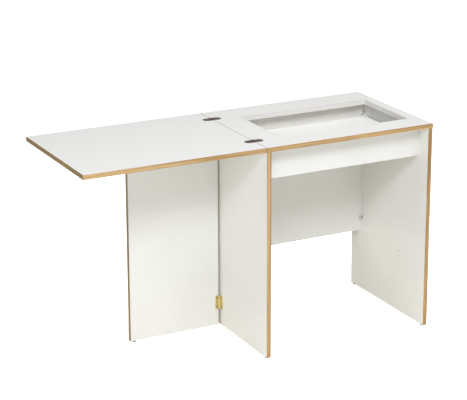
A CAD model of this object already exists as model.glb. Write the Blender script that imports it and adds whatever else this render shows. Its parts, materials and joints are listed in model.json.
"""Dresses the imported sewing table: coated boards, edge bands, hinges, fittings, studio and camera.

Everything is in metres, in the table's own frame. X runs from the leaf to the main top's right end,
Y from the front to the back, and Z up from the floor. The seam between leaf and main top is at X = 0.
"""

import json
import logging
import math
from abc import ABC, abstractmethod
from collections.abc import Iterable, Sequence
from dataclasses import dataclass, field
from enum import Enum
from typing import Any, ClassVar

import bmesh
import bpy
from bmesh.types import BMEdge, BMFace, BMVert
from bpy.types import Material, Mesh, Node, NodeSocket, NodeTree, Object
from mathutils import Matrix, Vector

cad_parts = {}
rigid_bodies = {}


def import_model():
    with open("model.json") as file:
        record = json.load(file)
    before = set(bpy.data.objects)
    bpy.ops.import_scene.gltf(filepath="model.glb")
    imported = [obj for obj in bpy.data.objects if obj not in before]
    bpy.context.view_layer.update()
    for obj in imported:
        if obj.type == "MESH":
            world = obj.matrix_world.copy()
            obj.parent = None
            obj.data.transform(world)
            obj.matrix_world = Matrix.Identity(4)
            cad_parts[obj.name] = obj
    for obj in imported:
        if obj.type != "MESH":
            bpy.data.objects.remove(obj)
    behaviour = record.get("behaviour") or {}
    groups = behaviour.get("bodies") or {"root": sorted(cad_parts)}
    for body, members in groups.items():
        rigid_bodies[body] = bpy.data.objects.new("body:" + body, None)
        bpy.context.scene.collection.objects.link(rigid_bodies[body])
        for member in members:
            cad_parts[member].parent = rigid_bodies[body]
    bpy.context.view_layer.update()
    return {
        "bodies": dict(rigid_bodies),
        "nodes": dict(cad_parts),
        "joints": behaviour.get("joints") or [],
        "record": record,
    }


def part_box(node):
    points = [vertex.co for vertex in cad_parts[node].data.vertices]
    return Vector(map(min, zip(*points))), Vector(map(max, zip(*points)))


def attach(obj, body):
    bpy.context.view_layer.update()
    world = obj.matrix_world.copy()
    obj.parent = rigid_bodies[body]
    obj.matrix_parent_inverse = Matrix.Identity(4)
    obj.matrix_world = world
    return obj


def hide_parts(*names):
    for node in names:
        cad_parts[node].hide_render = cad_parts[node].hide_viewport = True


LOG = logging.getLogger("sewing_table")

Colour = tuple[float, float, float]
Aim = tuple[Vector, Vector]

WHITE: Colour = (1.0, 1.0, 1.0)
NOISE_SPAN = (0.36, 0.64)
MERGE = 1e-6
IN_PLANE = 1e-5
PARALLEL = 0.99
SCREW_SINK = 0.00325
SCREW_PILOT = 0.0016
SCREW_FACETS = 20


class Axis(Enum):
    """The table's axes, by their place in a vector."""

    X = 0
    Y = 1
    Z = 2

    @property
    def way(self) -> Vector:
        """Unit vector along the axis."""
        return Vector([float(index == self.value) for index in range(3)])


class Body(Enum):
    """The bodies that move on their own."""

    FRAME = "frame"
    LEAF = "leaf"
    GATE = "gate"


class Slot(Enum):
    """The record's material slots that new pieces take their finish from."""

    TRIM = "cream_plastic"
    BRONZE = "dark_bronze"
    BRASS = "brass"
    ZINC = "zinc_steel"
    BLACK_ZINC = "black_zinc"
    GLIDE = "black_plastic"


def sides(node: str) -> list[Axis]:
    """The axes, from a node's shortest side to its longest."""
    low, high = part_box(node)
    return sorted(Axis, key=lambda axis: high[axis.value] - low[axis.value])


def thickness(node: str) -> float:
    """A board's shortest side."""
    return min(end - start for start, end in zip(*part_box(node)))


# ---- shader groups ----


class NodeSheet:
    """One node tree, with short ways to add nodes, sums and links."""

    def __init__(self, tree: NodeTree) -> None:
        """Wraps a tree."""
        self.tree = tree

    def feed(self, node: Node, feeds: dict[str | int, Any]) -> None:
        """Links or sets a node's inputs.

        Args:
            node: The node.
            feeds: A socket, a colour or a plain value for each input, by name or number.
        """
        for key, value in feeds.items():
            if isinstance(value, NodeSocket):
                self.tree.links.new(value, node.inputs[key])
            else:
                node.inputs[key].default_value = (*value, 1.0) if isinstance(value, tuple) else value

    def add(self, kind: str, feeds: dict[str | int, Any] | None = None, **settings: Any) -> Node:
        """Adds one node.

        Args:
            kind: The node's type name.
            feeds: What its inputs get; see feed.
            **settings: The node's own properties.

        Returns:
            The new node.
        """
        node = self.tree.nodes.new(kind)
        for key, value in settings.items():
            setattr(node, key, value)
        self.feed(node, feeds or {})
        return node

    def sum(self, operation: str, *values: Any, clamp: bool = False) -> NodeSocket:
        """Adds a Math node and returns its result."""
        feeds = dict(enumerate(values))
        return self.add("ShaderNodeMath", feeds, operation=operation, use_clamp=clamp).outputs[0]

    def average(self, first: NodeSocket, second: NodeSocket, share: float) -> NodeSocket:
        """Weighs two values, the first one by its share."""
        return self.sum("MULTIPLY_ADD", first, share, self.sum("MULTIPLY", second, 1.0 - share))

    def noise(self, vector: Any, scale: Any, detail: float = 2.0, roughness: float = 0.5,
              distortion: float = 0.0) -> NodeSocket:
        """Adds a noise texture with so many cells for each metre, and returns its values, about 0.5."""
        feeds = {"Vector": vector, "Scale": scale, "Detail": detail, "Roughness": roughness,
                 "Distortion": distortion}
        return self.add("ShaderNodeTexNoise", feeds).outputs["Fac"]

    def spread(self, value: Any, low: float, high: float, to_low: Any = 0.0,
               to_high: Any = 1.0) -> NodeSocket:
        """Stretches a range of values to another one, with soft ends."""
        feeds = {"Value": value, "From Min": low, "From Max": high, "To Min": to_low, "To Max": to_high}
        return self.add("ShaderNodeMapRange", feeds, interpolation_type="SMOOTHSTEP").outputs["Result"]

    def blend(self, factor: Any, first: Any, second: Any) -> NodeSocket:
        """Mixes two colours; the factor is the second one's share."""
        return self.add("ShaderNodeMix", {0: factor, 6: first, 7: second}, data_type="RGBA").outputs[2]

    def bump(self, height: NodeSocket, strength: float, distance: float = 0.0002,
             **base: NodeSocket) -> NodeSocket:
        """Adds a bump, on the base's Normal if there is one, and returns the new normal."""
        feeds = {"Strength": strength, "Distance": distance, "Height": height, **base}
        return self.add("ShaderNodeBump", feeds).outputs[0]

    def place(self) -> NodeSocket:
        """Object coordinates."""
        return self.add("ShaderNodeTexCoord").outputs["Object"]

    def along(self, place: NodeSocket, axis: Axis) -> NodeSocket:
        """One coordinate of a place."""
        return self.add("ShaderNodeSeparateXYZ", {0: place}).outputs[axis.value]

    def stretched(self, axis: Axis, squeeze: float) -> NodeSocket:
        """Object coordinates, squeezed along one axis so that a pattern runs along it."""
        scale = Vector((1.0, 1.0, 1.0)) - axis.way * (1.0 - squeeze)
        return self.add("ShaderNodeMapping", {"Vector": self.place(), "Scale": scale}).outputs["Vector"]


class ShaderGroup(ABC):
    """A shader node group, made once and placed in every material that needs it."""

    title: ClassVar[str]
    amounts: ClassVar[dict[str, float]] = {}
    kinds: ClassVar[dict[str, str]] = {"RGBA": "NodeSocketColor", "VECTOR": "NodeSocketVector",
                                       "VALUE": "NodeSocketFloat"}

    @classmethod
    @abstractmethod
    def draw(cls, sheet: NodeSheet, takes: Any) -> dict[str, NodeSocket]:
        """Draws the group's inside.

        Args:
            sheet: The group's tree.
            takes: The sockets of its inputs: Vector and the amounts.

        Returns:
            The socket for each named output.
        """

    @classmethod
    def tree(cls) -> NodeTree:
        """Makes the group's tree at the first call.

        Returns:
            The tree.
        """
        found = bpy.data.node_groups.get(cls.title)
        if found is not None:
            return found
        tree = bpy.data.node_groups.new(cls.title, "ShaderNodeTree")
        tree.interface.new_socket(name="Vector", in_out="INPUT", socket_type="NodeSocketVector")
        for name, value in cls.amounts.items():
            port = tree.interface.new_socket(name=name, in_out="INPUT", socket_type="NodeSocketFloat")
            port.default_value = value
        sheet = NodeSheet(tree)
        gives = cls.draw(sheet, sheet.add("NodeGroupInput").outputs)
        for name, socket in gives.items():
            tree.interface.new_socket(name=name, in_out="OUTPUT", socket_type=cls.kinds[socket.type])
        sheet.add("NodeGroupOutput", gives)
        return tree

    @classmethod
    def put(cls, sheet: NodeSheet, **feeds: Any) -> Any:
        """Puts the group into a material and returns its outputs."""
        return sheet.add("ShaderNodeGroup", feeds, node_tree=cls.tree()).outputs


class PearlTexture(ShaderGroup):
    """Fine pearl of a pressed coating, with faint uneven tone."""

    title = "pearl_texture"
    amounts = {"Grain": 1500.0}

    @classmethod
    def draw(cls, sheet: NodeSheet, takes: Any) -> dict[str, NodeSocket]:
        """Draws the group's inside; see ShaderGroup.draw."""
        height = sheet.noise(takes["Vector"], takes["Grain"], roughness=0.55)
        patches = sheet.noise(takes["Vector"], 7.0, detail=3.0, roughness=0.6)
        specks = sheet.noise(takes["Vector"], 380.0)
        mottle = sheet.average(specks, patches, share=0.35)
        return {"Height": height, "Mottle": sheet.spread(mottle, *NOISE_SPAN)}


class WoodStreaks(ShaderGroup):
    """Long grain streaks and short pores; its vector is squeezed along the grain."""

    title = "wood_streaks"
    amounts = {"Streak": 420.0, "Pore": 1700.0}
    broad_share: ClassVar[float] = 0.28
    pore_depth: ClassVar[float] = -0.6

    @classmethod
    def draw(cls, sheet: NodeSheet, takes: Any) -> dict[str, NodeSocket]:
        """Draws the group's inside; see ShaderGroup.draw."""
        place = takes["Vector"]
        fine = sheet.noise(place, takes["Streak"], detail=5.0, roughness=0.62, distortion=0.4)
        broad_scale = sheet.sum("MULTIPLY", takes["Streak"], cls.broad_share)
        broad = sheet.noise(place, broad_scale, distortion=0.3)
        pores = sheet.spread(sheet.noise(place, takes["Pore"], detail=1.0), 0.6, 0.72)
        height = sheet.sum("MULTIPLY_ADD", pores, cls.pore_depth, fine)
        tone = sheet.average(fine, broad, share=0.5)
        return {"Tone": sheet.spread(tone, *NOISE_SPAN), "Pores": pores, "Height": height}


class ChipCore(ShaderGroup):
    """Pressed wood chips of a board's core."""

    title = "chip_core"
    light: ClassVar[Colour] = (0.56, 0.38, 0.2)
    dark: ClassVar[Colour] = (0.25, 0.15, 0.07)
    bend: ClassVar[float] = 0.02

    @classmethod
    def draw(cls, sheet: NodeSheet, takes: Any) -> dict[str, NodeSocket]:
        """Draws the group's inside; see ShaderGroup.draw."""
        bent = sheet.add("ShaderNodeTexNoise", {"Vector": takes["Vector"], "Scale": 260.0})
        place = sheet.blend(cls.bend, takes["Vector"], bent.outputs["Color"])
        chips = sheet.add("ShaderNodeTexVoronoi", {"Vector": place, "Scale": 620.0, "Randomness": 1.0})
        tone = sheet.add("ShaderNodeSeparateColor", {0: chips.outputs["Color"]}).outputs["Red"]
        return {"Color": sheet.blend(tone, cls.dark, cls.light), "Height": chips.outputs["Distance"]}


class EdgeWear(ShaderGroup):
    """Mask of the sharp edges, broken up as by handling, and the normal of an edge that is a little round."""

    title = "edge_wear"
    amounts = {"Radius": 0.0004}

    @classmethod
    def draw(cls, sheet: NodeSheet, takes: Any) -> dict[str, NodeSocket]:
        """Draws the group's inside; see ShaderGroup.draw."""
        bevel = sheet.add("ShaderNodeBevel", {"Radius": takes["Radius"]}, samples=4).outputs[0]
        flat = sheet.add("ShaderNodeNewGeometry").outputs["True Normal"]
        turn = sheet.add("ShaderNodeVectorMath", {0: bevel, 1: flat}, operation="DOT_PRODUCT")
        bare = sheet.spread(sheet.sum("SUBTRACT", 1.0, turn.outputs["Value"], clamp=True), 0.02, 0.2)
        broken = sheet.spread(sheet.noise(takes["Vector"], 600.0, detail=3.0, roughness=0.6), 0.35, 0.6)
        return {"Mask": sheet.sum("MULTIPLY", bare, broken, clamp=True), "Normal": bevel}


class FineScratches(ShaderGroup):
    """Fine lines of a drawn or brushed metal; its vector is squeezed along the lines."""

    title = "fine_scratches"
    amounts = {"Lines": 3500.0}

    @classmethod
    def draw(cls, sheet: NodeSheet, takes: Any) -> dict[str, NodeSocket]:
        """Draws the group's inside; see ShaderGroup.draw."""
        lines = sheet.noise(takes["Vector"], takes["Lines"], detail=3.0, roughness=0.65)
        cloud = sheet.noise(takes["Vector"], 220.0, detail=3.0, roughness=0.55)
        return {"Height": lines, "Tone": sheet.spread(cloud, 0.35, 0.65)}


# ---- finishes ----


class Finish(ABC):
    """What a surface looks like. It makes one material for each name that it is given."""

    @abstractmethod
    def surface(self, sheet: NodeSheet, place: NodeSocket) -> dict[str, Any]:
        """Draws the surface.

        Args:
            sheet: The material's tree.
            place: Object coordinates.

        Returns:
            What each input of the shader gets.
        """

    def material(self, name: str) -> Material:
        """Makes the material.

        Args:
            name: The material's name.

        Returns:
            The new material.
        """
        material = bpy.data.materials.new(name)
        material.use_nodes = True
        material.node_tree.nodes.clear()
        sheet = NodeSheet(material.node_tree)
        shader = sheet.add("ShaderNodeBsdfPrincipled", self.surface(sheet, sheet.place()))
        sheet.add("ShaderNodeOutputMaterial", {"Surface": shader.outputs["BSDF"]})
        return material


@dataclass(frozen=True)
class Span:
    """The two faces of a board, and how to tell how near to them a place is."""

    node: str
    axis: Axis

    def ends(self) -> tuple[float, float]:
        """Where the two faces lie."""
        low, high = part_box(self.node)
        return low[self.axis.value], high[self.axis.value]

    def depth(self, sheet: NodeSheet, place: NodeSocket) -> NodeSocket:
        """Distance of a place from the board's middle plane."""
        off = sheet.sum("SUBTRACT", sheet.along(place, self.axis), sum(self.ends()) / 2)
        return sheet.sum("ABSOLUTE", off)

    def half(self) -> float:
        """Half of the board's thickness."""
        low, high = self.ends()
        return (high - low) / 2


@dataclass(frozen=True)
class CoatedBoard(Finish):
    """White coating on chipboard: a thin layer on both faces, with the core showing where a board is cut."""

    span: Span
    light: Colour = (0.774, 0.768, 0.738)
    shade: Colour = (0.754, 0.747, 0.714)
    skin: float = 0.0002
    roughness: float = 0.36
    core_roughness: float = 0.5

    def surface(self, sheet: NodeSheet, place: NodeSocket) -> dict[str, Any]:
        """Draws the surface; see Finish.surface."""
        cut = sheet.sum("LESS_THAN", self.span.depth(sheet, place), self.span.half() - self.skin)
        pearl = PearlTexture.put(sheet, Vector=place, Grain=1500.0)
        core = ChipCore.put(sheet, Vector=place)
        coat = sheet.blend(pearl["Mottle"], self.shade, self.light)
        gloss = sheet.spread(pearl["Mottle"], 0.0, 1.0, self.roughness + 0.04, self.roughness - 0.04)
        chips = sheet.sum("MULTIPLY", core["Height"], cut)
        coat_normal = sheet.bump(pearl["Height"], 0.12)
        return {
            "Base Color": sheet.blend(cut, coat, core["Color"]),
            "Roughness": sheet.sum("MULTIPLY_ADD", cut, self.core_roughness, gloss, clamp=True),
            "Normal": sheet.bump(chips, 0.5, 0.0006, Normal=coat_normal),
            "Specular IOR Level": 0.45,
        }


@dataclass(frozen=True)
class WoodGrain(Finish):
    """Wood, or a print of it: streaks along its length, short pores and a satin or raw surface.

    A band that ends at the seam has soiled there; seam says how far from the seam's middle that reaches.
    """

    run: Axis
    light: Colour = (0.575, 0.385, 0.184)
    dark: Colour = (0.285, 0.159, 0.058)
    pore: Colour = (0.19, 0.099, 0.034)
    soiled: Colour = (0.05, 0.034, 0.02)
    seam: float = 0.0
    squeeze: float = 0.013
    streak: float = 300.0
    pores: float = 1300.0
    pore_share: float = 0.55
    relief: float = 0.2
    roughness: float = 0.42
    coated: bool = True
    specular: float = 0.3

    def surface(self, sheet: NodeSheet, place: NodeSocket) -> dict[str, Any]:
        """Draws the surface; see Finish.surface."""
        vector = sheet.stretched(self.run, self.squeeze)
        grain = WoodStreaks.put(sheet, Vector=vector, Streak=self.streak, Pore=self.pores)
        wood = sheet.blend(grain["Tone"], self.dark, self.light)
        wood = sheet.blend(sheet.sum("MULTIPLY", grain["Pores"], self.pore_share), wood, self.pore)
        if self.seam:
            off = sheet.sum("ABSOLUTE", sheet.along(place, Axis.X))
            wood = sheet.blend(sheet.spread(off, self.seam, self.seam * 0.7), wood, self.soiled)
        rough = self.roughness
        if self.coated:
            rough = sheet.spread(grain["Tone"], 0.0, 1.0, self.roughness + 0.08, self.roughness - 0.05)
        return {
            "Base Color": wood,
            "Roughness": rough,
            "Normal": sheet.bump(grain["Height"], self.relief),
            "Specular IOR Level": self.specular,
        }


@dataclass(frozen=True)
class SeamTape(Finish):
    """White edge band whose long edges have greyed where the leaf and the main top meet."""

    span: Span
    light: Colour = (0.78, 0.776, 0.758)
    shade: Colour = (0.745, 0.74, 0.72)
    greyed: Colour = (0.37, 0.355, 0.318)
    reach: float = 0.0009
    roughness: float = 0.4

    def surface(self, sheet: NodeSheet, place: NodeSocket) -> dict[str, Any]:
        """Draws the surface; see Finish.surface."""
        pearl = PearlTexture.put(sheet, Vector=place, Grain=1300.0)
        half = self.span.half()
        soiled = sheet.spread(self.span.depth(sheet, place), half - self.reach, half - self.reach / 3)
        tape = sheet.blend(pearl["Mottle"], self.shade, self.light)
        return {
            "Base Color": sheet.blend(soiled, tape, self.greyed),
            "Roughness": sheet.spread(soiled, 0.0, 1.0, self.roughness, self.roughness + 0.15),
            "Normal": sheet.bump(pearl["Height"], 0.12),
        }


@dataclass(frozen=True)
class Moulded(Finish):
    """Plastic from a mould or an extruder: fine grain, faint flow marks and edges rubbed a little lighter."""

    light: Colour
    dark: Colour
    rubbed: Colour
    roughness: float
    slot: Slot = Slot.TRIM
    relief: float = 0.12
    relief_depth: float = 0.0002
    wear: float = 0.5
    wear_radius: float = 0.0003
    metallic: float = 0.0

    def texture(self, sheet: NodeSheet, place: NodeSocket) -> tuple[NodeSocket, NodeSocket, NodeSocket]:
        """Draws the texture under the wear.

        Args:
            sheet: The material's tree.
            place: Object coordinates.

        Returns:
            Its tone, height and roughness.
        """
        pearl = PearlTexture.put(sheet, Vector=place, Grain=1300.0)
        rough = sheet.spread(pearl["Mottle"], 0.0, 1.0, self.roughness + 0.07, self.roughness - 0.05)
        return pearl["Mottle"], pearl["Height"], rough

    def surface(self, sheet: NodeSheet, place: NodeSocket) -> dict[str, Any]:
        """Draws the surface; see Finish.surface."""
        tone, height, rough = self.texture(sheet, place)
        edge = EdgeWear.put(sheet, Vector=place, Radius=self.wear_radius)
        base = sheet.blend(tone, self.dark, self.light)
        return {
            "Base Color": sheet.blend(sheet.sum("MULTIPLY", edge["Mask"], self.wear), base, self.rubbed),
            "Roughness": rough,
            "Normal": sheet.bump(height, self.relief, self.relief_depth, Normal=edge["Normal"]),
            "Metallic": self.metallic,
        }


@dataclass(frozen=True)
class Metal(Moulded):
    """Sheet, turned or plated metal: fine drawn lines, clouded tone and bright rubbed edges."""

    relief: float = 0.1
    relief_depth: float = 0.0001
    wear: float = 0.7
    metallic: float = 1.0
    lines: Axis = Axis.Z

    def texture(self, sheet: NodeSheet, place: NodeSocket) -> tuple[NodeSocket, NodeSocket, NodeSocket]:
        """Draws the drawn lines; see Moulded.texture."""
        drawn = FineScratches.put(sheet, Vector=sheet.stretched(self.lines, 0.08), Lines=3200.0)
        rough = sheet.spread(drawn["Height"], 0.3, 0.7, self.roughness - 0.07, self.roughness + 0.1)
        return drawn["Tone"], drawn["Height"], rough


WHITE_BAND = Moulded((0.78, 0.776, 0.758), (0.755, 0.75, 0.73), (0.8, 0.796, 0.78), 0.38, wear=0.2)
BLOCK_WHITE = Moulded((0.71, 0.704, 0.68), (0.66, 0.652, 0.625), (0.76, 0.755, 0.73), 0.45, wear=0.2)
CREAM_TRIM = Moulded((0.76, 0.735, 0.7), (0.72, 0.69, 0.65), (0.8, 0.78, 0.75), 0.4, wear=0.3)
BLACK_GLIDE = Moulded((0.02, 0.0195, 0.019), (0.013, 0.013, 0.013), (0.05, 0.049, 0.048), 0.55, Slot.GLIDE)
DARK_BRONZE = Metal((0.155, 0.112, 0.105), (0.095, 0.066, 0.062), (0.34, 0.26, 0.22), 0.42, Slot.BRONZE,
                    metallic=0.3, lines=Axis.X)
BRASS = Metal((0.8, 0.69, 0.38), (0.62, 0.49, 0.2), (0.94, 0.85, 0.58), 0.3, Slot.BRASS)
AGED_BRASS = Metal((0.32, 0.27, 0.11), (0.2, 0.16, 0.06), (0.6, 0.5, 0.25), 0.36, Slot.BRASS)
BLACK_ZINC = Metal((0.03, 0.029, 0.028), (0.015, 0.0145, 0.014), (0.1, 0.097, 0.094), 0.55, Slot.BLACK_ZINC,
                   metallic=0.3)
ZINC = Metal((0.66, 0.66, 0.67), (0.5, 0.5, 0.51), (0.84, 0.84, 0.85), 0.36, Slot.ZINC, lines=Axis.Y)
DULL_ZINC = Metal((0.6, 0.59, 0.56), (0.565, 0.555, 0.525), (0.72, 0.71, 0.68), 0.58, Slot.ZINC, relief=0.03,
                  metallic=0.6, lines=Axis.Y)
BEECH = WoodGrain(Axis.Z, (0.68, 0.48, 0.3), (0.5, 0.31, 0.17), (0.5, 0.31, 0.17), squeeze=0.15, streak=700.0,
                  pores=1800.0, pore_share=0.4, relief=0.3, roughness=0.62, coated=False, specular=0.5)


# ---- meshes ----


def aimed(place: Vector, way: Vector) -> Matrix:
    """Matrix that takes the Z axis to a place and a way."""
    return Matrix.Translation(place) @ way.to_track_quat("Z", "Y").to_matrix().to_4x4()


def framed(origin: Sequence[float], ways: Sequence[Vector]) -> Matrix:
    """Matrix that takes the three axes to an origin and three ways."""
    return Matrix.Translation(origin) @ Matrix(ways).transposed().to_4x4()


def verts_in(parts: Iterable[Any]) -> list[BMVert]:
    """The vertices among some parts of a mesh."""
    return [part for part in parts if isinstance(part, BMVert)]


def edges_at(verts: Iterable[BMVert]) -> list[BMEdge]:
    """The edges that meet at some vertices, each one once and in a fixed order."""
    return list(dict.fromkeys(edge for vert in verts for edge in vert.link_edges))


class Draft:
    """A mesh in the making, and the bmesh operators that several pieces share."""

    def __init__(self) -> None:
        """Starts an empty mesh."""
        self.bm = bmesh.new()

    def since(self, before: set[BMVert]) -> list[BMVert]:
        """The vertices that weren't there before."""
        return [vert for vert in self.bm.verts if vert not in before]

    def block(self, low: Sequence[float], high: Sequence[float]) -> list[BMVert]:
        """Adds a box between two corners and returns its vertices."""
        matrix = Matrix.LocRotScale((Vector(low) + Vector(high)) / 2, None, Vector(high) - Vector(low))
        return bmesh.ops.create_cube(self.bm, size=1.0, matrix=matrix)["verts"]

    def spin(self, parts: Sequence[Any], angle: float, steps: int, **settings: Any) -> list[Any]:
        """Spins parts of the mesh, about the Z axis unless settings say more, and returns the last ones."""
        options = {"cent": (0, 0, 0), "axis": (0, 0, 1), "dvec": (0, 0, 0), "use_merge": False} | settings
        return bmesh.ops.spin(self.bm, geom=parts, angle=angle, steps=steps, **options)["geom_last"]

    def turned(self, profile: Sequence[tuple[float, float]], steps: int, ring: bool = False) -> list[BMVert]:
        """Spins a profile about the Z axis.

        Args:
            profile: Its points, as radius and height.
            steps: Number of facets round the axis.
            ring: Whether the profile closes on itself, as a tube's wall does.

        Returns:
            The body's vertices.
        """
        before = set(self.bm.verts)
        verts = [self.bm.verts.new((radius, 0.0, height)) for radius, height in profile]
        pairs = list(zip(verts, verts[1:])) + ([(verts[-1], verts[0])] if ring else [])
        edges = [self.bm.edges.new(pair) for pair in pairs]
        self.spin(verts + edges, math.tau, steps, use_merge=True)
        bmesh.ops.remove_doubles(self.bm, verts=self.since(before), dist=MERGE / 10)
        return self.since(before)

    def soften(self, edges: Iterable[BMEdge], offset: float, segments: int = 2) -> None:
        """Rounds edges by an offset, with so many facets across."""
        bmesh.ops.bevel(self.bm, geom=list(edges), offset=offset, offset_type="OFFSET", segments=segments,
                        profile=0.5, affect="EDGES", clamp_overlap=True, material=-1)

    def sharp(self, degrees: float) -> list[BMEdge]:
        """The edges whose two faces meet at more than some degrees."""
        limit = math.radians(degrees)
        return [edge for edge in self.bm.edges
                if len(edge.link_faces) == 2 and edge.calc_face_angle(0.0) > limit]

    def upright(self, verts: Iterable[BMVert], axis: Axis) -> list[BMEdge]:
        """The edges at some vertices that run along an axis."""
        return [edge for edge in edges_at(verts)
                if abs((edge.verts[1].co - edge.verts[0].co).normalized().dot(axis.way)) > PARALLEL]

    def facing(self, way: Vector, point: Vector) -> BMFace:
        """Finds the largest face that looks one way at one place.

        Args:
            way: The way that it looks.
            point: A point in its plane.

        Returns:
            The face.
        """
        self.bm.normal_update()
        found = [face for face in self.bm.faces if face.normal.dot(way) > PARALLEL
                 and abs((face.calc_center_median() - point).dot(way)) < IN_PLANE]
        return max(found, key=lambda face: face.calc_area())

    def fill(self, edges: Iterable[BMEdge], normal: Sequence[float], dissolve: bool = False) -> None:
        """Fills the area between closed outlines."""
        bmesh.ops.triangle_fill(self.bm, use_beauty=True, use_dissolve=dissolve, edges=list(edges),
                                normal=normal)

    def grow(self, faces: Iterable[BMFace], step: Sequence[float]) -> list[BMVert]:
        """Extrudes faces by one step.

        Args:
            faces: The faces.
            step: The step.

        Returns:
            The new vertices.
        """
        verts = verts_in(bmesh.ops.extrude_face_region(self.bm, geom=list(faces))["geom"])
        bmesh.ops.translate(self.bm, vec=step, verts=verts)
        return verts

    def open_face(self, face: BMFace, spots: Sequence[Vector], radius: float) -> list[list[BMEdge]]:
        """Cuts round openings in a flat face.

        Args:
            face: The face.
            spots: The middle of each opening.
            radius: Their radius.

        Returns:
            The edges round each opening.
        """
        normal, rim = face.normal.copy(), list(face.edges)
        loops = []
        for spot in spots:
            made = bmesh.ops.create_circle(self.bm, cap_ends=False, radius=radius, segments=SCREW_FACETS,
                                           matrix=aimed(spot, normal))
            loops.append(edges_at(made["verts"]))
        bmesh.ops.delete(self.bm, geom=[face], context="FACES_ONLY")
        self.fill(sum(loops, rim), normal)
        return loops

    def bore(self, way: Vector, depth: float, spots: Sequence[Vector]) -> None:
        """Bores screw holes through a flat wall, wider at the face where the heads sit.

        Args:
            way: The way that this face looks.
            depth: Thickness of the wall.
            spots: The middle of each hole on this face.
        """
        ends = [spot - way * depth for spot in spots]
        near, far = self.facing(way, spots[0]), self.facing(-way, ends[0])
        fronts, backs = self.open_face(near, spots, SCREW_SINK), self.open_face(far, ends, SCREW_PILOT)
        for front, back in zip(fronts, backs):
            bmesh.ops.bridge_loops(self.bm, edges=front + back)

    def move(self, verts: Iterable[BMVert], matrix: Matrix) -> None:
        """Moves some vertices to their place."""
        bmesh.ops.transform(self.bm, matrix=matrix, verts=list(verts))

    def take(self, part: "Draft", places: Iterable[Matrix]) -> "Draft":
        """Closes the draft of a part and adds a copy of it at each place.

        Args:
            part: The part's draft.
            places: A matrix for each copy.

        Returns:
            This draft.
        """
        template = part.mesh("part")
        for place in places:
            before = set(self.bm.verts)
            self.bm.from_mesh(template)
            self.move(self.since(before), place)
        bpy.data.meshes.remove(template)
        return self

    def mesh(self, name: str, smooth_below: float = 35.0) -> Mesh:
        """Closes the draft.

        Args:
            name: The mesh's name.
            smooth_below: Edges flatter than this many degrees are shaded smooth.

        Returns:
            The mesh, merged, with its faces outwards.
        """
        bmesh.ops.remove_doubles(self.bm, verts=self.bm.verts, dist=MERGE)
        bmesh.ops.recalc_face_normals(self.bm, faces=self.bm.faces)
        mesh = bpy.data.meshes.new(name)
        self.bm.to_mesh(mesh)
        self.bm.free()
        mesh.polygons.foreach_set("use_smooth", [True] * len(mesh.polygons))
        mesh.set_sharp_from_angle(angle=math.radians(smooth_below))
        return mesh


class Workbench:
    """Gives each piece its finish and its body, and keeps the list of pieces."""

    def __init__(self, frame: dict[str, Any]) -> None:
        """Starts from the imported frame.
        """
        self.nodes: dict[str, Object] = frame["nodes"]
        self.hubs: dict[str, Vector] = {joint["name"]: Vector(joint["pos_m"]) for joint in frame["joints"]}
        self.dressed: list[str] = []

    def dress(self, node: str, finish: Finish) -> None:
        """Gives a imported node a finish.

        Args:
            node: The node.
            finish: The finish.
        """
        material = finish.material(f"{node}_finish")
        slots = self.nodes[node].material_slots
        for slot in slots:
            slot.material = material
        if not slots:
            self.nodes[node].data.materials.append(material)
        self.dressed.append(node)
        LOG.info("dressed %s", node)

    def fit(self, part: Draft, name: str, finish: Moulded, body: Body, node: str,
            places: Sequence[Matrix] = ()) -> None:
        """Makes a new piece, with its finish and its body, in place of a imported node.

        Args:
            part: The piece's mesh, or that of one of the parts that it holds.
            name: The piece's name.
            finish: Its finish.
            body: The body that it moves with.
            node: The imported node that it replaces.
            places: Where each of its parts goes.
        """
        draft = Draft().take(part, places) if places else part
        piece = bpy.data.objects.new(name, draft.mesh(name))
        bpy.context.scene.collection.objects.link(piece)
        piece.data.materials.append(finish.material(f"{name}_finish"))
        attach(piece, body.value)
        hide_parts(node)
        self.dressed.append(name)
        LOG.info("made %s with %d faces for %s", name, len(piece.data.polygons), node)

    def report(self) -> None:
        """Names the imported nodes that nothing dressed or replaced."""
        bare = [name for name, node in self.nodes.items()
                if name not in self.dressed and not node.hide_render]
        if bare:
            LOG.warning("still bare: %s", ", ".join(sorted(bare)))
        LOG.info("%d pieces dressed", len(self.dressed))


# ---- boards and bands ----


@dataclass
class Boards:
    """The eight coated boards."""

    bench: Workbench
    names: tuple[str, ...] = ("main_top", "leaf", "machine_platform", "left_panel", "right_panel", "apron",
                              "back_panel", "gate_leg")

    def build(self) -> None:
        """Dresses every board by the axis across its thickness."""
        for name in self.names:
            self.bench.dress(name, CoatedBoard(Span(name, sides(name)[0])))


class BandLook(Enum):
    """The five looks of edge bands."""

    OAK = "oak"
    OAK_END = "oak end"
    OAK_SEAM = "oak with a soiled end at the seam"
    WHITE = "white"
    SEAM = "white with greyed edges"


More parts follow.
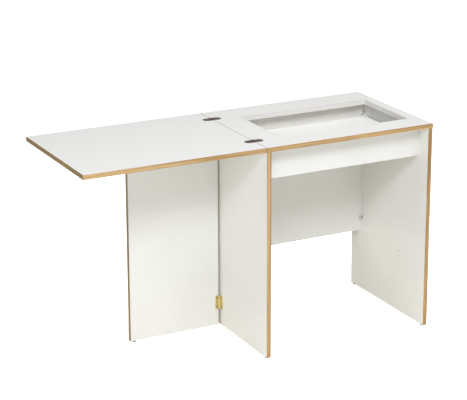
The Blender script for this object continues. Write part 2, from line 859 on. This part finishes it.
@dataclass
class EdgeBands:
    """The edge bands: oak print all round, white at the seam and along the lower edges of the rails."""

    bench: Workbench
    end_light: Colour = (0.44, 0.29, 0.09)
    end_dark: Colour = (0.15, 0.085, 0.024)
    seam_light: Colour = (0.65, 0.433, 0.205)
    seam_reach: float = 0.0009
    looks: dict[BandLook, tuple[str, ...]] = field(default_factory=lambda: {
        BandLook.OAK_SEAM: ("main_top_front", "main_top_rear", "leaf_front", "leaf_rear"),
        BandLook.OAK_END: ("main_top_end", "leaf_end", "gate_leg_free_end"),
        BandLook.OAK: ("left_panel_front", "left_panel_rear", "right_panel_front", "right_panel_rear",
                       "gate_leg_hinge_end"),
        BandLook.SEAM: ("main_top_seam", "leaf_seam"),
        BandLook.WHITE: ("apron_lower", "back_panel_lower"),
    })

    def finish(self, node: str, look: BandLook) -> Finish:
        """Picks a band's finish.

        Args:
            node: The band's node.
            look: Its look.

        Returns:
            The finish.
        """
        _, across, run = sides(node)
        if look is BandLook.WHITE:
            return WHITE_BAND
        if look is BandLook.SEAM:
            return SeamTape(Span(node, across))
        if look is BandLook.OAK_END:
            return WoodGrain(run, light=self.end_light, dark=self.end_dark)
        if look is BandLook.OAK_SEAM:
            return WoodGrain(run, light=self.seam_light, seam=self.seam_reach)
        return WoodGrain(run)

    def build(self) -> None:
        """Dresses every band."""
        for look, names in self.looks.items():
            for name in names:
                node = f"{name}_band"
                self.bench.dress(node, self.finish(node, look))


@dataclass
class WellTrim:
    """Ring round the machine's well: a thin wall down the cut and a flush lip on the surface."""

    bench: Workbench
    wall: float = 0.0015
    lip: float = 0.005
    lip_thickness: float = 0.0012
    corner: float = 0.005
    corner_facets: int = 8
    rounding: float = 0.0004
    spacing: float = 0.02

    def loop(self, draft: Draft, inset: float, height: float) -> list[BMEdge]:
        """Adds one rounded outline.

        Args:
            draft: The mesh.
            inset: How far inside the lip's outer edge it lies.
            height: Its height.

        Returns:
            Its edges.
        """
        low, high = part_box("well_trim")
        x0, x1 = low.x + inset, high.x - inset
        y0, y1 = low.y + inset, high.y - inset
        verts = [draft.bm.verts.new((x, y, height)) for x, y in ((x0, y0), (x1, y0), (x1, y1), (x0, y1))]
        draft.bm.faces.new(verts)
        made = bmesh.ops.bevel(draft.bm, geom=verts, offset=self.corner + self.wall + self.lip - inset,
                               offset_type="OFFSET", segments=self.corner_facets, profile=0.5,
                               affect="VERTICES", clamp_overlap=True, material=-1)
        outline = made["verts"][0].link_faces[0]
        edges = list(outline.edges)
        bmesh.ops.delete(draft.bm, geom=[outline], context="FACES_ONLY")
        return edges

    def build(self) -> None:
        """Bridges the outlines into the ring and rounds its shown edges.

        The outlines are bridged one below the other and then put at their own heights, because two of
        them in one plane have no clear order.
        """
        draft = Draft()
        low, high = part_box("well_trim")
        under, inner = high.z - self.lip_thickness, self.lip + self.wall
        stations = ((0.0, high.z), (0.0, under), (self.lip, under), (self.lip, low.z), (inner, low.z),
                    (inner, high.z))
        loops = [self.loop(draft, inset, -step * self.spacing) for step, (inset, _) in enumerate(stations)]
        for first, second in zip(loops, loops[1:] + loops[:1]):
            bmesh.ops.bridge_loops(draft.bm, edges=first + second)
        for outline, (_, height) in zip(loops, stations):
            for vert in {vert for edge in outline for vert in edge.verts}:
                vert.co.z = height
        draft.soften(draft.sharp(60.0), self.rounding)
        self.bench.fit(draft, "well_trim_ring", CREAM_TRIM, Body.FRAME, "well_trim")


# ---- screws ----


@dataclass
class CrossScrew:
    """Countersunk wood screw with a cross recess, a helical thread and a pointed tip."""

    reach: float
    shank: float = 0.0015
    core: float = 0.0011
    head: float = 0.003
    head_depth: float = 0.0018
    head_edge: float = 0.00012
    head_taper: float = 0.985
    recess_arm: float = 0.0016
    recess_half_width: float = 0.00045
    recess_depth: float = 0.0012
    recess_taper: float = 0.55
    tip: float = 0.003
    tip_taper: float = 0.12
    pitch: float = 0.0014
    flank: float = 0.32
    root: float = 0.94
    thread_facets: int = 12
    draft: Draft = field(default_factory=Draft)

    def cross(self) -> list[BMEdge]:
        """Adds the recess as a sunk cross.

        Returns:
            The edges round its mouth.
        """
        bm = self.draft.bm
        grid = bmesh.ops.create_grid(bm, x_segments=3, y_segments=3, size=self.recess_arm)["verts"]
        for vert in grid:
            for index in (0, 1):
                if abs(vert.co[index]) < self.recess_arm / 2:
                    vert.co[index] = math.copysign(self.recess_half_width, vert.co[index])
        corners = [face for face in bm.faces
                   if min(abs(value) for value in face.calc_center_median()[:2]) > self.recess_half_width]
        bmesh.ops.delete(bm, geom=corners, context="FACES")
        mouth = [edge for edge in bm.edges if edge.is_boundary]
        cross = list(bm.faces)
        floor = self.draft.grow(cross, (0.0, 0.0, self.recess_depth))
        bmesh.ops.scale(bm, vec=(self.recess_taper, self.recess_taper, 1.0), verts=floor)
        bmesh.ops.delete(bm, geom=cross, context="FACES")
        return mouth

    def thread(self) -> None:
        """Winds a three-sided ridge round the core by a spin with a rise."""
        bm = self.draft.bm
        start = self.head_depth + self.pitch
        turns = (self.reach - self.tip - start) / self.pitch
        flank, root = self.flank * self.pitch, self.root * self.core
        corners = ((root, start - flank), (self.shank, start), (root, start + flank))
        verts = [bm.verts.new((radius, 0.0, height)) for radius, height in corners]
        face = bm.faces.new(verts)
        last = self.draft.spin([face, *face.edges, *verts], turns * math.tau,
                               max(1, round(turns * self.thread_facets)),
                               dvec=(0.0, 0.0, self.pitch / self.thread_facets))
        if not any(isinstance(part, BMFace) for part in last):
            bm.faces.new(verts_in(last))

    def build(self) -> Draft:
        """Builds the screw with its head's top at the origin, running along +Z.

        Returns:
            The screw.
        """
        bm = self.draft.bm
        mouth = self.cross()
        rim = bmesh.ops.create_circle(bm, cap_ends=False, radius=self.head, segments=SCREW_FACETS)["verts"]
        edges = edges_at(rim)
        self.draft.fill(mouth + edges, (0.0, 0.0, -1.0))
        stations = ((self.head_taper, self.head_edge), (self.core / self.head, self.head_depth),
                    (1.0, self.reach - self.tip), (self.tip_taper, self.reach))
        height = 0.0
        for ratio, level in stations:
            grown = bmesh.ops.extrude_edge_only(bm, edges=edges)["geom"]
            edges = [part for part in grown if isinstance(part, BMEdge)]
            bmesh.ops.scale(bm, vec=(ratio, ratio, 1.0), verts=verts_in(grown))
            bmesh.ops.translate(bm, vec=(0.0, 0.0, level - height), verts=verts_in(grown))
            height = level
        bmesh.ops.edgeloop_fill(bm, edges=edges)
        self.thread()
        return self.draft


@dataclass
class Screws:
    """All screws of the table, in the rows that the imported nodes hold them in."""

    bench: Workbench
    sunk: float = 0.00015
    skin: float = 0.0035
    edge_reach: float = 0.022

    def reach(self, board: str, sheet: float = 0.0) -> float:
        """Length of a screw that goes through a sheet and stops short of a board's far face."""
        return sheet + thickness(board) - self.skin

    def row(self, node: str, aims: Iterable[Aim], reach: float, finish: Metal, body: Body) -> None:
        """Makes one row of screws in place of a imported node, from each head's place and its screw's way."""
        places = [aimed(place + way * self.sunk, way) for place, way in aims]
        self.bench.fit(CrossScrew(reach).build(), f"{node}_turned", finish, body, node, places)


# ---- hinges ----


@dataclass
class OvalHinges:
    """The leaf's two flush oval hinges: round-ended plates let into the boards, and knuckles on one pin.

    Each half is built about the hinge's middle on the surface. Its side is 1 for the main top's half and
    -1 for the leaf's.
    """

    bench: Workbench
    screws: Screws
    length: float = 0.068
    width: float = 0.032
    thickness: float = 0.003
    edge_inset: float = 0.094
    barrel: float = 0.0021
    barrel_chamfer: float = 0.00025
    bore: float = 0.00095
    middle_knuckle: float = 0.015
    gap: float = 0.0004
    outer_screw_inset: float = 0.009
    inner_screw_inset: float = 0.022
    screw_spread: float = 0.0085
    rounding: float = 0.00035
    facets: int = 28

    def screw_spots(self, side: int) -> list[Vector]:
        """Heads of the three screws of one half."""
        spots = ((self.outer_screw_inset, 0), (self.inner_screw_inset, -self.screw_spread),
                 (self.inner_screw_inset, self.screw_spread))
        return [Vector((side * (self.length / 2 - inset), y, 0)) for inset, y in spots]

    def plate(self, side: int) -> Draft:
        """Builds the plate of one half, with the notches for the other half's knuckles and sunk holes.

        Args:
            side: Which half it is.

        Returns:
            The plate.
        """
        draft, radius = Draft(), self.width / 2
        reach = self.barrel + self.gap
        edge, floor = (0.0, reach) if side > 0 else (-reach, 0.0)
        notch = self.middle_knuckle / 2 + (self.gap if side > 0 else 0.0)
        centre = Vector((side * (self.length / 2 - radius), 0, 0))
        start = draft.bm.verts.new((centre.x, -radius, 0))
        end = verts_in(draft.spin([start], side * math.pi, self.facets, cent=centre))[0]
        half = [(edge, radius), (edge, notch), (floor, notch)]
        corners = half + [(x, -y) for x, y in reversed(half)]
        path = [end] + [draft.bm.verts.new((x, y, 0)) for x, y in corners] + [start]
        for pair in zip(path, path[1:]):
            draft.bm.edges.new(pair)
        draft.fill(draft.bm.edges, Axis.Z.way, dissolve=True)
        draft.grow(draft.bm.faces, (0, 0, -self.thickness))
        bmesh.ops.recalc_face_normals(draft.bm, faces=draft.bm.faces)
        bmesh.ops.dissolve_limit(draft.bm, angle_limit=0.001, use_dissolve_boundaries=False,
                                 verts=draft.bm.verts, edges=draft.bm.edges)
        draft.soften(draft.facing(Axis.Z.way, Vector((0, 0, 0))).edges, self.rounding)
        draft.bore(Axis.Z.way, self.thickness, self.screw_spots(side))
        return draft

    def knuckle_spans(self, side: int) -> list[tuple[float, float]]:
        """Start and end of each knuckle of one half, along the pin."""
        middle, end = self.middle_knuckle / 2, self.width / 2 - self.gap
        return [(-end, -middle - self.gap), (middle + self.gap, end)] if side > 0 else [(-middle, middle)]

    def build(self) -> None:
        """Makes both halves of both hinges, their pins and their screws."""
        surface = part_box("main_top")[1].z
        front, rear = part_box("leaf_front_band")[0].y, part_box("leaf_rear_band")[1].y
        middles = (front + self.edge_inset, rear - self.edge_inset)
        places = [Matrix.Translation((0, y, surface)) for y in middles]
        pin = aimed(Vector((0, 0, self.bench.hubs["leaf_hinge"].z - surface)), Axis.Y.way)
        rim, slope = self.barrel - self.barrel_chamfer, self.barrel_chamfer
        for side, owner, body in ((1, "top", Body.FRAME), (-1, "leaf", Body.LEAF)):
            half = self.plate(side)
            for start, end in self.knuckle_spans(side):
                profile = [(self.bore, start), (rim, start), (self.barrel, start + slope),
                           (self.barrel, end - slope), (rim, end), (self.bore, end)]
                half.move(half.turned(profile, self.facets, ring=True), pin)
            name = f"oval_hinge_{owner}"
            self.bench.fit(half, f"{name}_plates", DARK_BRONZE, body, f"{name}_halves", places)
            aims = [(place @ spot, -Axis.Z.way) for place in places for spot in self.screw_spots(side)]
            self.screws.row(f"{name}_screws", aims, self.screws.reach("leaf"), DARK_BRONZE, body)
        self.bench.dress("oval_hinge_pins", DARK_BRONZE)


@dataclass
class ButtHinge:
    """The gate's brass butt hinge: two leaves with round corners, and rolled knuckles about one pin.

    Each leaf is built with X along it, Y into its board and the origin on the hinge's axis.
    """

    bench: Workbench
    screws: Screws
    axis_offset: float = 0.0032
    leaf_width: float = 0.016
    overlap: float = 0.6
    height: float = 0.05
    sheet: float = 0.0015
    barrel: float = 0.0028
    bore: float = 0.00145
    knuckles: int = 5
    corner: float = 0.002
    corner_facets: int = 6
    gap: float = 0.0004
    neck_inset: float = 0.0003
    screw_inset: float = 0.0085
    screw_reach: float = 0.0095
    rounding: float = 0.0003
    roll: float = math.radians(335)
    roll_facets: int = 30

    def screw_spots(self) -> list[Vector]:
        """Heads of a leaf's two screws."""
        rise = self.height / 2 - self.screw_inset
        return [Vector((self.screw_reach, self.axis_offset - self.sheet, z)) for z in (-rise, rise)]

    def flat(self) -> Draft:
        """Builds the flat of a leaf, with two sunk holes.

        Returns:
            The flat.
        """
        draft, near = Draft(), self.axis_offset - self.sheet
        verts = draft.block((self.barrel * self.overlap, near, -self.height / 2),
                            (self.leaf_width, self.axis_offset, self.height / 2))
        outer = [edge for edge in draft.upright(verts, Axis.Y) if edge.verts[0].co.x > self.leaf_width / 2]
        draft.soften(outer, self.corner, self.corner_facets)
        draft.soften(draft.facing(-Axis.Y.way, Vector((0, near, 0))).edges, self.rounding)
        draft.bore(-Axis.Y.way, self.sheet, self.screw_spots())
        return draft

    def knuckle(self, draft: Draft, low: float, high: float) -> None:
        """Adds a strip bent about the pin, with the roll's seam left open, and its neck.

        Args:
            draft: The leaf.
            low: The knuckle's lower end.
            high: Its upper end.
        """
        before = set(draft.bm.faces)
        verts = [draft.bm.verts.new((0.0, radius, low)) for radius in (self.bore, self.barrel)]
        draft.spin([*verts, draft.bm.edges.new(verts)], self.roll, self.roll_facets)
        draft.grow([face for face in draft.bm.faces if face not in before], (0, 0, high - low))
        draft.block((0.0, self.axis_offset - self.sheet, low),
                    (self.barrel, self.axis_offset - self.neck_inset, high))

    def build(self) -> None:
        """Makes both leaves, the pin and the screws."""
        x, y, z = (axis.way for axis in Axis)
        pitch = self.height / self.knuckles
        reach = self.screws.reach("gate_leg", self.sheet)
        leaves = (("panel", 0, Body.FRAME, (-y, x, z)), ("gate", 1, Body.GATE, (-x, y, -z)))
        for owner, first, body, ways in leaves:
            leaf = self.flat()
            for index in range(first, self.knuckles, 2):
                low = index * pitch - self.height / 2
                self.knuckle(leaf, low + self.gap / 2, low + pitch - self.gap / 2)
            place = framed(self.bench.hubs["gate_hinge"], ways)
            name = f"butt_hinge_{owner}"
            self.bench.fit(leaf, f"{name}_flap", BRASS, body, f"{name}_leaf", [place])
            aims = [(place @ spot, ways[1]) for spot in self.screw_spots()]
            self.screws.row(f"{name}_screws", aims, reach, AGED_BRASS, body)
        self.bench.dress("butt_hinge_pin", BRASS)


@dataclass
class UpperPivot:
    """The pivot over the gate: bracket on the left panel, arm in the gate's top edge, and a rivet."""

    bench: Workbench
    screws: Screws
    sheet: float = 0.002
    arm_length: float = 0.048
    screw_end: float = 0.007
    arm_screw_pitch: float = 0.024
    flange_screw_pitch: float = 0.011

    def build(self) -> None:
        """Dresses the three pieces and makes their screws."""
        for name in ("upper_pivot_bracket", "upper_pivot_arm", "upper_pivot_rivet"):
            self.bench.dress(name, ZINC)
        low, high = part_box("gate_leg")
        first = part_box("gate_leg_hinge_end_band")[1].x - self.arm_length + self.screw_end
        middle = (low.y + high.y) / 2
        aims = [(Vector((x, middle, high.z)), -Axis.Z.way) for x in (first, first + self.arm_screw_pitch)]
        self.screws.row("upper_pivot_arm_screws", aims, self.screws.edge_reach, ZINC, Body.GATE)
        low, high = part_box("upper_pivot_bracket")
        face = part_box("left_panel")[0].x - self.sheet
        start = low.y + self.screw_end
        level = (low.z + high.z - self.sheet) / 2
        aims = [(Vector((face, y, level)), Axis.X.way) for y in (start, start + self.flange_screw_pitch)]
        reach = self.screws.reach("left_panel", self.sheet)
        self.screws.row("upper_pivot_bracket_screws", aims, reach, ZINC, Body.FRAME)


# ---- fittings ----


@dataclass
class Hangers:
    """The two folded hangers of the machine's platform and their screws."""

    bench: Workbench
    screws: Screws
    sheet: float = 0.002
    top_flange: float = 0.02
    foot: float = 0.018
    screw_inset: float = 0.02

    def build(self) -> None:
        """Dresses the hangers and makes their screws, which run upward."""
        aims: list[Aim] = []
        for name, inward in (("platform_hanger_left", 1), ("platform_hanger_right", -1)):
            self.bench.dress(name, DULL_ZINC)
            low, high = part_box(name)
            web = low.x + self.top_flange if inward > 0 else high.x - self.top_flange
            middle, swing = (low.y + high.y) / 2, (high.y - low.y) / 2 - self.screw_inset
            top = web - inward * (self.sheet + self.top_flange) / 2
            rows = ((top, high.z - self.sheet, (-swing, 0.0, swing)),
                    (web + inward * self.foot / 2, low.z, (-swing, swing)))
            for x, z, steps in rows:
                aims += [(Vector((x, middle + step, z)), Axis.Z.way) for step in steps]
        reach = self.screws.reach("machine_platform", self.sheet)
        self.screws.row("hanger_screws", aims, reach, ZINC, Body.FRAME)


@dataclass
class CornerBlocks:
    """Moulded blocks in the corners of the boards, each with two sunk screws.

    A block is built with X and Y off its two boards and the origin in the middle of its corner.
    """

    bench: Workbench
    screws: Screws
    size: float = 0.01
    height: float = 0.014
    chamfer: float = 0.0015
    low_height: float = 0.286
    high_drop: float = 0.06
    top_inset: float = 0.028
    rounding: float = 0.0006

    def places(self) -> list[Matrix]:
        """Finds the blocks' corners.

        Returns:
            The place of every block.
        """
        places = []
        underside, surface = (corner.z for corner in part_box("main_top"))
        back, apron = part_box("back_panel")[0].y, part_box("apron")[1]
        apron_middle = (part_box("apron_lower_band")[0].z + apron.z) / 2
        panels = ((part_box("left_panel")[1].x, Axis.X.way), (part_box("right_panel")[0].x, -Axis.X.way))
        for x, inward in panels:
            corners = [
                (back, self.low_height, -Axis.Y.way),
                (back, surface - self.high_drop, -Axis.Y.way),
                (apron.y + self.top_inset, underside, -Axis.Z.way),
                (back - self.top_inset, underside, -Axis.Z.way),
                (apron.y, apron_middle, Axis.Y.way),
            ]
            places += [framed((x, y, z), (inward, way, inward.cross(way))) for y, z, way in corners]
        return places

    def heads(self) -> list[Aim]:
        """The head of each of a block's two screws and the way that it looks."""
        half, rise = self.size / 2, self.height / 4
        return [(Vector((self.size, half, -rise)), Axis.X.way), (Vector((half, self.size, rise)), Axis.Y.way)]

    def block(self) -> Draft:
        """Builds one block.

        Returns:
            The block.
        """
        draft = Draft()
        verts = draft.block((0, 0, -self.height / 2), (self.size, self.size, self.height / 2))
        free = [edge for edge in draft.upright(verts, Axis.Z) if min(edge.verts[0].co.xy) > MERGE]
        draft.soften(free, self.chamfer, 1)
        shown = [edge for edge in draft.sharp(40.0) if all(max(vert.co.xy) > MERGE for vert in edge.verts)]
        draft.soften(shown, self.rounding)
        for head, way in self.heads():
            draft.bore(way, self.size, [head])
        return draft

    def build(self) -> None:
        """Makes all blocks and their screws."""
        places, body = self.places(), Body.FRAME
        self.bench.fit(self.block(), "moulded_corner_blocks", BLOCK_WHITE, body, "corner_blocks", places)
        aims = [(place @ head, place.to_3x3() @ -way) for place in places for head, way in self.heads()]
        reach = self.screws.reach("left_panel", self.size)
        self.screws.row("corner_block_screws", aims, reach, BLACK_ZINC, body)


@dataclass
class Glides:
    """Black nail-on glides under the panels and the gate."""

    bench: Workbench
    radius: float = 0.0075
    height: float = 0.005
    rim: float = 0.0007
    rim_facets: int = 4
    chamfer: float = 0.0003
    inset: float = 0.016
    nail: float = 0.0012
    nail_head: float = 0.0024
    nail_head_thickness: float = 0.0012
    nail_rounding: float = 0.0004
    nail_point: float = 0.003
    recess: float = 0.001
    nail_length: float = 0.02
    play: float = 0.0001
    facets: int = 40

    def disc(self) -> Draft:
        """Builds a glide with a round rim and a sunk hole.

        Returns:
            The glide.
        """
        draft, bore, sink = Draft(), self.nail + self.play, self.nail_head + self.play
        floor = self.recess + self.nail_head_thickness
        turns = [step * math.pi / 2 / self.rim_facets for step in range(self.rim_facets + 1)]
        arc = [(self.radius - self.rim + self.rim * math.sin(turn), self.rim - self.rim * math.cos(turn))
               for turn in turns]
        profile = [(bore, floor), (sink, floor), (sink, self.chamfer), (sink + self.chamfer, 0.0), *arc,
                   (self.radius, self.height - self.chamfer), (self.radius - self.chamfer, self.height),
                   (bore, self.height)]
        draft.turned(profile, self.facets, ring=True)
        return draft

    def spike(self) -> Draft:
        """Builds a nail with a flat head, its edge rounded, and a point.

        Returns:
            The nail.
        """
        draft, rounding = Draft(), self.nail_rounding
        top, end = self.recess + self.nail_head_thickness, self.recess + self.nail_length
        profile = [(0.0, self.recess), (self.nail_head - rounding, self.recess),
                   (self.nail_head, self.recess + rounding), (self.nail_head, top), (self.nail, top),
                   (self.nail, end - self.nail_point), (0.0, end)]
        draft.turned(profile, self.facets // 2)
        return draft

    def build(self) -> None:
        """Makes the glides and nails of both bodies."""
        low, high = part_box("gate_leg")
        gate = [(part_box("gate_leg_free_end_band")[0].x + self.inset, (low.y + high.y) / 2)]
        panels = []
        for panel in ("left_panel", "right_panel"):
            low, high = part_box(panel)
            front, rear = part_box(f"{panel}_front_band")[0].y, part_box(f"{panel}_rear_band")[1].y
            panels += [((low.x + high.x) / 2, y) for y in (front + self.inset, rear - self.inset)]
        rows = ((panels, Body.FRAME, "panel_glides", "panel_glide_nails"),
                (gate, Body.GATE, "gate_glide", "gate_glide_nail"))
        for spots, body, discs, nails in rows:
            places = [Matrix.Translation((x, y, 0.0)) for x, y in spots]
            self.bench.fit(self.disc(), f"{discs}_turned", BLACK_GLIDE, body, discs, places)
            self.bench.fit(self.spike(), f"{nails}_turned", ZINC, body, nails, places)


# ---- studio ----


@dataclass(frozen=True)
class Softbox:
    """A square soft light, aimed at the table's middle."""

    azimuth: float
    elevation: float
    power: float
    colour: Colour = WHITE
    distance: float = 5.0
    size: float = 1.6
    target: tuple[float, float, float] = (0.0, 0.0, 0.45)

    def hang(self, name: str) -> None:
        """Hangs the light.

        Args:
            name: Its name.
        """
        turn, rise = math.radians(self.azimuth), math.radians(self.elevation)
        way = Vector((math.sin(turn) * math.cos(rise), -math.cos(turn) * math.cos(rise), math.sin(rise)))
        lamp = bpy.data.lights.new(name, "AREA")
        lamp.shape = "SQUARE"
        lamp.size = self.size
        lamp.energy = self.power
        lamp.color = self.colour
        light = bpy.data.objects.new(name, lamp)
        light.location = Vector(self.target) + way * self.distance
        light.rotation_euler = (-way).to_track_quat("-Z", "Y").to_euler()
        bpy.context.scene.collection.objects.link(light)


@dataclass
class Studio:
    """Pale floor, even white surroundings, soft lights and the camera."""

    floor_size: float = 60.0
    floor_colour: Colour = (0.9, 0.9, 0.9)
    floor_roughness: float = 0.9
    bounce: float = 0.45
    bounce_ahead: float = 0.28
    bounce_edges: tuple[float, float] = (-1.1, -0.35)
    bounce_colour: Colour = (1.0, 0.94, 0.72)
    gloss_fill: float = 0.25
    softboxes: tuple[Softbox, ...] = (
        Softbox(-20, 40, 102, (0.94, 0.985, 1.09), size=1.1),
        Softbox(-40, 28, 42),
        Softbox(-90, 15, 17),
        Softbox(0, 88, 136),
        Softbox(32, 48, 69),
        Softbox(90, 30, 30),
    )
    frame_width: float = 467.0
    frame_height: float = 400.0
    focal_pixels: float = 1712.1
    centre_pixels: tuple[float, float] = (252.1, 160.1)
    camera_place: tuple[float, float, float] = (-2.5582, -4.9909, 2.3232)
    camera_yaw: float = math.radians(27.825)
    camera_pitch: float = math.radians(16.682)
    sensor: float = 36.0

    def floor(self) -> None:
        """Lays the floor, which shows white and throws a warm light on the table."""
        draft = Draft()
        bmesh.ops.create_grid(draft.bm, x_segments=1, y_segments=1, size=self.floor_size / 2)
        floor = bpy.data.objects.new("studio_floor", draft.mesh("studio_floor"))
        bpy.context.scene.collection.objects.link(floor)
        material = bpy.data.materials.new("studio_floor_finish")
        material.use_nodes = True
        sheet = NodeSheet(material.node_tree)
        seen = sheet.add("ShaderNodeLightPath").outputs["Is Camera Ray"]
        depth = sheet.along(sheet.place(), Axis.Y)
        bounce = sheet.spread(depth, *self.bounce_edges, self.bounce_ahead, self.bounce)
        sheet.feed(material.node_tree.nodes["Principled BSDF"], {
            "Base Color": self.floor_colour,
            "Roughness": self.floor_roughness,
            "Specular IOR Level": 0.0,
            "Emission Color": sheet.blend(seen, self.bounce_colour, WHITE),
            "Emission Strength": sheet.spread(seen, 0.0, 1.0, bounce, 1.0),
        })
        floor.data.materials.append(material)

    def surroundings(self) -> None:
        """Sets the even white that the camera sees, and a weaker one for shiny surfaces."""
        world = bpy.data.worlds.new("studio_surroundings")
        world.use_nodes = True
        sheet = NodeSheet(world.node_tree)
        path = sheet.add("ShaderNodeLightPath").outputs
        mirrored = sheet.spread(path["Is Glossy Ray"], 0.0, 1.0, to_high=self.gloss_fill)
        shown = sheet.sum("MAXIMUM", mirrored, path["Is Camera Ray"])
        sheet.feed(world.node_tree.nodes["Background"], {"Color": WHITE, "Strength": shown})
        bpy.context.scene.world = world
        bpy.context.scene.view_settings.view_transform = "Standard"

    def camera(self) -> None:
        """Sets up the camera."""
        lens = bpy.data.cameras.new("camera")
        lens.sensor_width = self.sensor
        lens.lens = self.focal_pixels / self.frame_width * self.sensor
        lens.shift_x = (self.frame_width / 2 - self.centre_pixels[0]) / self.frame_width
        lens.shift_y = (self.centre_pixels[1] - self.frame_height / 2) / self.frame_width
        lens.clip_start, lens.clip_end = 0.1, 100.0
        camera = bpy.data.objects.new("camera", lens)
        camera.location = self.camera_place
        camera.rotation_euler = (math.pi / 2 - self.camera_pitch, 0.0, -self.camera_yaw)
        bpy.context.scene.collection.objects.link(camera)
        bpy.context.scene.camera = camera

    def build(self) -> None:
        """Builds the whole studio."""
        self.floor()
        self.surroundings()
        for index, softbox in enumerate(self.softboxes):
            softbox.hang(f"softbox_{index + 1}")
        self.camera()
        LOG.info("studio ready")


def main() -> None:
    """Builds the table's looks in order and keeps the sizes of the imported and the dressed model."""
    logging.basicConfig(level=logging.INFO, format="%(name)s: %(message)s")
    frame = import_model()
    bench = Workbench(frame)
    screws = Screws(bench)
    Boards(bench).build()
    EdgeBands(bench).build()
    WellTrim(bench).build()
    OvalHinges(bench, screws).build()
    ButtHinge(bench, screws).build()
    UpperPivot(bench, screws).build()
    Hangers(bench, screws).build()
    CornerBlocks(bench, screws).build()
    Glides(bench).build()
    bench.dress("dowels", BEECH)
    bench.report()
    Studio().build()


if __name__ == "__main__":
    main()
